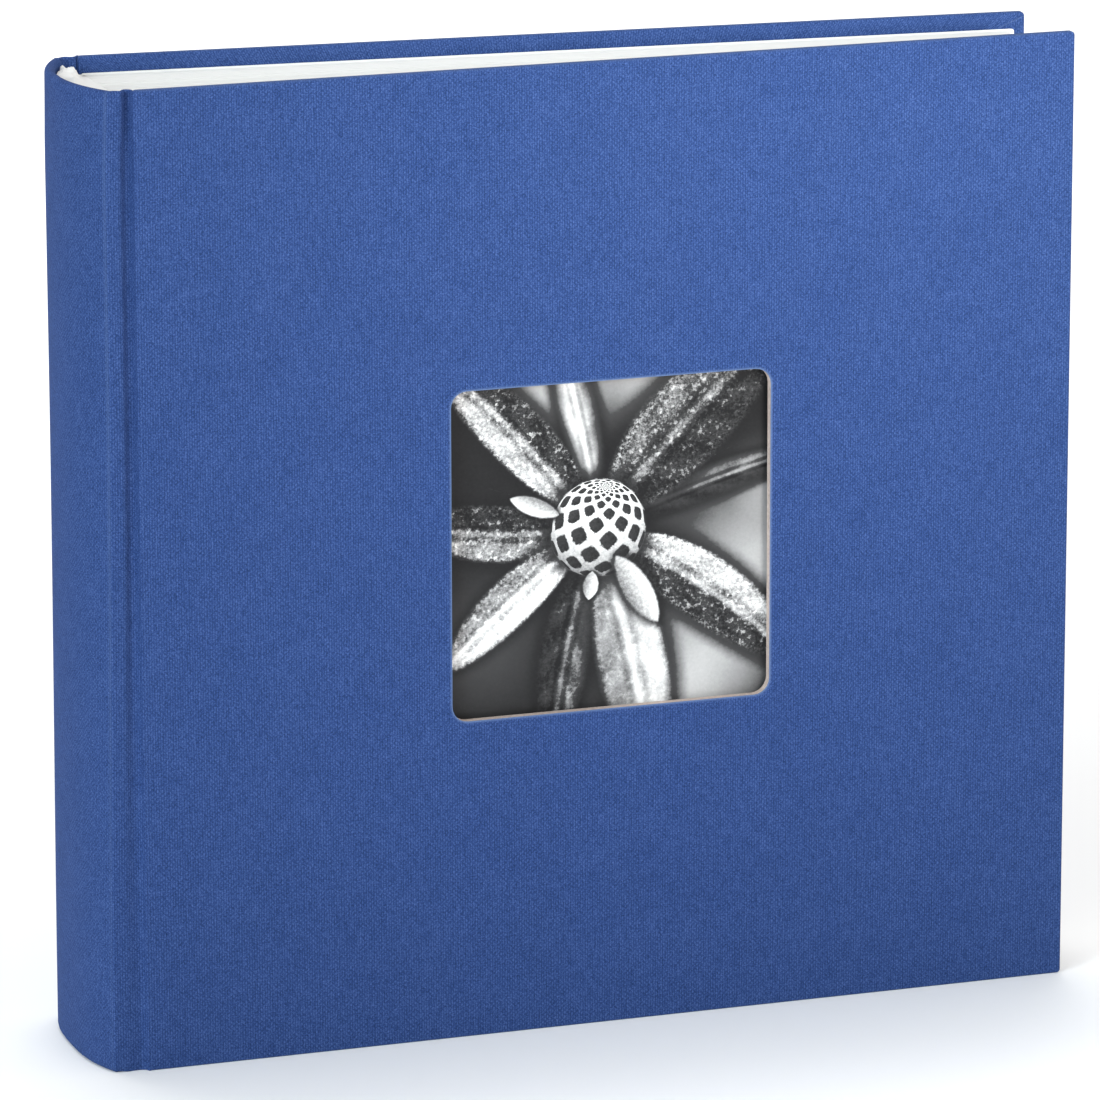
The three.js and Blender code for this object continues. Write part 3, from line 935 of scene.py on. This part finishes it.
def endpaper_hinge(side, place, material):
    """The endpaper between pastedown and flyleaf: down into the joint and back out of its fold."""
    rows, columns, thick = 24, 30, PAPER / 2
    deep = DEEP if side == "front" else BACK_DEEP
    points = []
    for i in range(rows + 1):
        z = BLOCK_TAIL + (HEIGHT - 2 * BLOCK_TAIL) * i / rows
        valley = SHALLOW + (deep - SHALLOW) * groove_share(z)
        route = [Vector(p) * MM for p in ((2.0, 3.72), (0.2, 3.72))]
        for x, under, least in ((-0.9, 0.95, 3.9), (-1.9, 1.1, 4.1), (-2.5, 1.45, 4.5), (-1.9, 1.8, 4.9)):
            route.append(Vector((x * MM, max(valley + under * MM, least * MM))))
        route.append(Vector((1.0 * MM, FLY_Y - 0.2 * MM)))
        route = resample(fillet(route, [0.6 * MM] * 5, 3), columns)
        offsets = []
        for k in range(columns + 1):
            tangent = (route[min(k + 1, columns)] - route[max(k - 1, 0)]).normalized()
            offsets.append(Vector((-tangent.y, tangent.x)) * thick)
        ring = [p + o for p, o in zip(route, offsets)] + [p - o for p, o in zip(route, offsets)][::-1]
        for p in ring:
            points.append(place(p).to_3d())
            points[-1].z = z
    faces = loop_faces(rows + 1, 2 * (columns + 1), False, True)
    if side == "back":
        faces = flipped(faces)
    piece = make_piece(f"{side}_endpaper_hinge", points, faces, material, "endpaper", 60)
    near, far = place(Vector((0, 3.7 * MM))), place(Vector((0, 5.0 * MM)))
    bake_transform(piece)


# ---------------------------------------------------------------- leaves
SHEETS = 50             # real leaves; the frame holds them in twenty bodies
BODIES = 20
SHEET_SHARE = 0.406     # pitch of the sheets, over the pitch of the bodies
FORE_HOLLOW = 2.5 * MM


def leaf_line(share):
    """Depths of a leaf's spine and fore-edge ends, 0 at the front flyleaf and 1 at the back."""
    front = (FRONT_FLY[0].y + FRONT_FLY[1].y) / 2
    back_spine, back_fore = BACK_FLY[1].y - FLY_T / 2, BACK_FLY[0].y + FLY_T / 2
    return front + (back_spine - front) * share, front + (back_fore - front) * share


def sheet_mesh(share, thickness, trims, offset):
    """One leaf standing in the block: a thin tapered board with a barely wavy face."""
    foot, head, fore = trims
    y_spine, y_fore = leaf_line(share)
    x_end = FRONT_FLY[1].x - FORE_HOLLOW * 4 * share * (1 - share) - fore
    x_start = PIVOT_X + 0.1 * MM
    wave = random.uniform(0, 6.28)
    columns, rows = 10, 5
    points = []
    for sign in (-0.5, 0.5):
        for i in range(columns + 1):
            t = i / columns
            x = x_start + (x_end - x_start) * t
            y = y_spine + (y_fore - y_spine) * t
            thick = thickness[0] + (thickness[1] - thickness[0]) * t
            for j in range(rows + 1):
                r = j / rows
                ripple = 0.035 * MM * math.sin(wave + 5.0 * t + 3.1 * r)
                z = BLOCK_TAIL + foot + (BLOCK_HEAD - BLOCK_TAIL - foot - head) * r
                points.append((x, y + offset * (1 - 0.42 * t) + sign * thick + ripple, z))
    return points, slab_faces(columns, rows)


def join(parts):
    """Several (points, faces) as one."""
    points, faces = [], []
    for more_points, more_faces in parts:
        start = len(points)
        points += more_points
        faces += [tuple(start + i for i in f) for f in more_faces]
    return points, faces


def make_leaves(card, glass, paper_white):
    steps = BODIES + 1
    spine_pitch, fore_pitch = (abs(a - b) * SHEET_SHARE / steps
                               for a, b in zip(leaf_line(1), leaf_line(0)))
    start = (steps - SHEETS * SHEET_SHARE) / 2
    owned = {k: [] for k in range(1, BODIES + 1)}
    for j in range(SHEETS):     # five sheets to two bodies, three on the first and two on the second
        pair, place = divmod(j, 5)
        owned[2 * pair + (1 if place < 3 else 2)].append((start + (j + 0.5) * SHEET_SHARE) / steps)
    for k, shares in owned.items():
        cards, glassines = [], []
        for share in shares:
            trims = [random.uniform(0, 0.35) * MM for _ in range(3)]
            cards.append(sheet_mesh(share, (spine_pitch * 0.72, fore_pitch * 0.76), trims, 0))
            trims = [0.8 * MM, random.uniform(0.4, 0.9) * MM, random.uniform(1.0, 2.5) * MM]
            glassines.append(sheet_mesh(share, (0.08 * MM, 0.06 * MM), trims, -spine_pitch * 0.49))
        for label, parts, material, slot, node in (
                ("card", cards, card, "page_card", f"leaf_{k:02d}"),
                ("glassine", glassines, glass, "glassine", f"interleaf_{k:02d}")):
            piece = make_piece(f"page_{k:02d}_{label}", *join(parts), material, slot, 0)
            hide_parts(node)
            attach(piece, f"page_{k:02d}")
    for side, share in (("front", 0), ("back", 1)):
        piece = make_piece(f"{side}_endleaf_sheet", *sheet_mesh(share, (FLY_T, FLY_T), (0, 0, 0), 0),
                           paper_white, "endpaper", 0)
        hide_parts(f"{side}_flyleaf")
        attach(piece, f"{side}_endleaf")


def make_guard_block(material):
    """The glued stubs of all the leaves: rounded at the back, its ends ragged where the folded
    paper and gauze were trimmed."""
    radius = ARC_R - 3.2 * MM
    half = math.asin((SPINE_T / 2 - 5.6 * MM) / radius)
    around, deep = 72, 12
    points = []
    for end in (1, -1):
        for i in range(around + 1):
            angle = -half + 2 * half * i / around
            rim = arc_point(angle, radius)
            face_y = min(max(rim.y, 7.7 * MM), SPINE_T - 7.7 * MM)
            inner = Vector((PIVOT_X - X0 - 0.05 * MM, face_y))
            for j in range(deep + 1):
                t = j / deep
                p = rim.lerp(inner, t)
                lump = noise.noise(Vector((p.x * 380, p.y * 380, 2.0 * end)))
                fine = noise.noise(Vector((p.x * 1500, p.y * 1500, 7.0)))
                inwards = smooth((t - 0.45) / 0.35)
                backwards = smooth((i / around - 0.5) / 0.4)
                rise = (1 - inwards) * (0.8 * MM + 2.9 * MM * backwards)
                ragged = rise * (0.80 + 0.6 * lump + 0.35 * fine) if end == 1 else rise * 0.3 * lump
                edge = -0.5 * MM if j == 0 else 0
                z = BLOCK_HEAD + ragged + edge if end == 1 else BLOCK_TAIL - ragged
                points.append((X0 + p.x, Y0 + p.y, z))
    faces = flipped(slab_faces(around, deep))
    piece = make_piece("stub_block", points, faces, material, "page_card", 40)
    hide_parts("guard_block")
    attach(piece, "text_block")


# ---------------------------------------------------------------- assembly
def main():
    make_camera()
    make_light()
    make_floor()
    cloth = book_cloth()
    board = greyboard()
    white = paper("endpaper", (0.83, 0.83, 0.815))
    card = paper("page_card", (0.72, 0.717, 0.706), grain=0.015)
    glass = glassine()
    for side, place in (("front", on_front), ("back", on_back)):
        cover_cloth(side, place, cloth)
        cover_board(side, place, board)
        cover_pastedown(side, place, white)
    make_spine(cloth, board)
    endpaper_hinge("front", joint_on_front, white)
    endpaper_hinge("back", joint_on_back, white)
    make_leaves(card, glass, white)
    make_guard_block(paper("stub_paper", (0.755, 0.752, 0.74), grain=0.05))
    looks = {"spine_lining": mull(), "window_print": picture(), "window_pocket": white}
    for name, material in looks.items():
        node = frame["nodes"][name]
        node.data.materials.clear()
        node.data.materials.append(material)


main()
